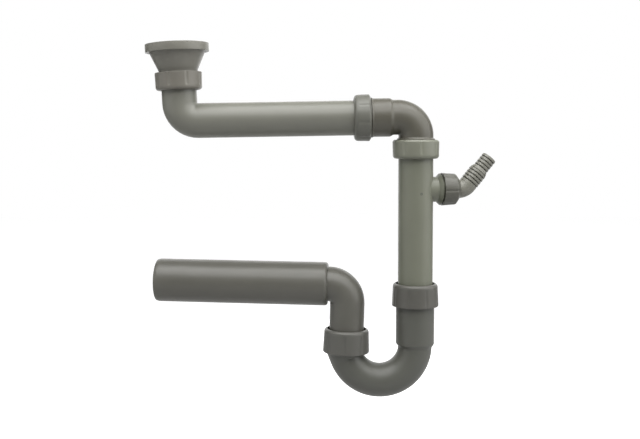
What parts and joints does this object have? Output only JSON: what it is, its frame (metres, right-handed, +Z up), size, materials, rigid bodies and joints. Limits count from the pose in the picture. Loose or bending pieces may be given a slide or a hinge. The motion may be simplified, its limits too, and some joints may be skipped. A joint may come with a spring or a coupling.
{
  "type": "space-saving sink trap",
  "caption": "Kitchen sink trap kit: inlet cup, bent arm, elbow, standpipe with a side hose nozzle, U bend and drain pipe, held together by union nuts.",
  "frame": {"origin": "middle of the gasket's top face, where the inlet cup seats under the sink", "axes": "+Z up, +X from the inlet cup along the arm towards the standpipe, +Y away from the viewer"},
  "size_m": [0.4026, 0.0812, 0.4083],
  "materials": {
    "grey_plastic": "satin moulded polypropylene, warm mid grey",
    "pale_grey_plastic": "satin moulded polypropylene, slightly green grey",
    "dark_grey_plastic": "satin moulded polypropylene, darker grey",
    "light_grey_plastic": "satin moulded polypropylene, light grey",
    "black_rubber": "matte seal rubber",
    "brass": "turned brass"
  },
  "bodies": {
    "cup": {"inlet_cup": "grey_plastic", "cup_gasket": "black_rubber", "screw_insert": "brass"},
    "inlet_nut": {"inlet_nut": "grey_plastic"},
    "arm": {"inlet_arm": "grey_plastic", "inlet_seal": "black_rubber"},
    "arm_seal": {"arm_seal": "black_rubber"},
    "elbow": {"elbow": "grey_plastic"},
    "arm_nut": {"arm_nut": "grey_plastic"},
    "standpipe_nut": {"standpipe_nut": "pale_grey_plastic"},
    "standpipe": {"standpipe": "pale_grey_plastic", "standpipe_seal": "black_rubber"},
    "branch_nut": {"branch_nut": "light_grey_plastic"},
    "nozzle": {"hose_nozzle": "light_grey_plastic", "branch_washer": "black_rubber"},
    "trap_seal": {"trap_seal": "black_rubber"},
    "trap": {"trap_bend": "dark_grey_plastic"},
    "trap_nut": {"trap_nut": "dark_grey_plastic"},
    "outlet_nut": {"outlet_nut": "dark_grey_plastic"},
    "outlet": {"outlet_bend": "grey_plastic", "outlet_seal": "black_rubber"}
  },
  "joints": [
    {"name": "inlet_nut_turn", "type": "hinge", "parent": "cup", "child": "inlet_nut", "pos_m": [0.00207, 0, -0.04745], "axis": [0.0436, 0, -0.999], "range_deg": [0, 270]},
    {"name": "cup_swivel", "type": "hinge", "parent": "cup", "child": "arm", "pos_m": [0.00207, 0, -0.04745], "axis": [-0.0436, 0, 0.999], "continuous": true},
    {"name": "arm_reach", "type": "slide", "parent": "arm", "child": "arm_seal", "axis": [0.9999, 0, 0.0165], "range_m": [-0.005, 0.015]},
    {"name": "elbow_swivel", "type": "hinge", "parent": "arm_seal", "child": "elbow", "pos_m": [0.2075, 0, -0.08436], "axis": [0.9999, 0, 0.0165], "continuous": true},
    {"name": "arm_nut_turn", "type": "hinge", "parent": "elbow", "child": "arm_nut", "pos_m": [0.2075, 0, -0.08436], "axis": [-0.9999, 0, -0.0165], "range_deg": [0, 270]},
    {"name": "standpipe_nut_turn", "type": "hinge", "parent": "elbow", "child": "standpipe_nut", "pos_m": [0.27339, 0, -0.12677], "axis": [0, 0, -1], "range_deg": [0, 270]},
    {"name": "standpipe_swivel", "type": "hinge", "parent": "elbow", "child": "standpipe", "pos_m": [0.27339, 0, -0.12677], "axis": [0, 0, 1], "continuous": true},
    {"name": "branch_nut_turn", "type": "hinge", "parent": "standpipe", "child": "branch_nut", "pos_m": [0.31312, 0.00615, -0.16637], "axis": [0.9882, 0.153, 0], "range_deg": [0, 270]},
    {"name": "nozzle_swivel", "type": "hinge", "parent": "standpipe", "child": "nozzle", "pos_m": [0.31312, 0.00615, -0.16637], "axis": [0.9882, 0.153, 0], "continuous": true},
    {"name": "trap_height", "type": "slide", "parent": "standpipe", "child": "trap_seal", "axis": [0, 0, 1], "range_m": [-0.02, 0.02]},
    {"name": "trap_swivel", "type": "hinge", "parent": "trap_seal", "child": "trap", "pos_m": [0.27339, 0, -0.28127], "axis": [0, 0, 1], "continuous": true},
    {"name": "trap_nut_turn", "type": "hinge", "parent": "trap", "child": "trap_nut", "pos_m": [0.27339, 0, -0.28127], "axis": [0, 0, 1], "range_deg": [0, 270]},
    {"name": "outlet_nut_turn", "type": "hinge", "parent": "trap", "child": "outlet_nut", "pos_m": [0.19409, 0, -0.33401], "axis": [0.0251, 0, 0.9997], "range_deg": [0, 270]},
    {"name": "outlet_swivel", "type": "hinge", "parent": "trap", "child": "outlet", "pos_m": [0.19409, 0, -0.33401], "axis": [0.0251, 0, 0.9997], "range_deg": [-120, 120]}
  ]
}
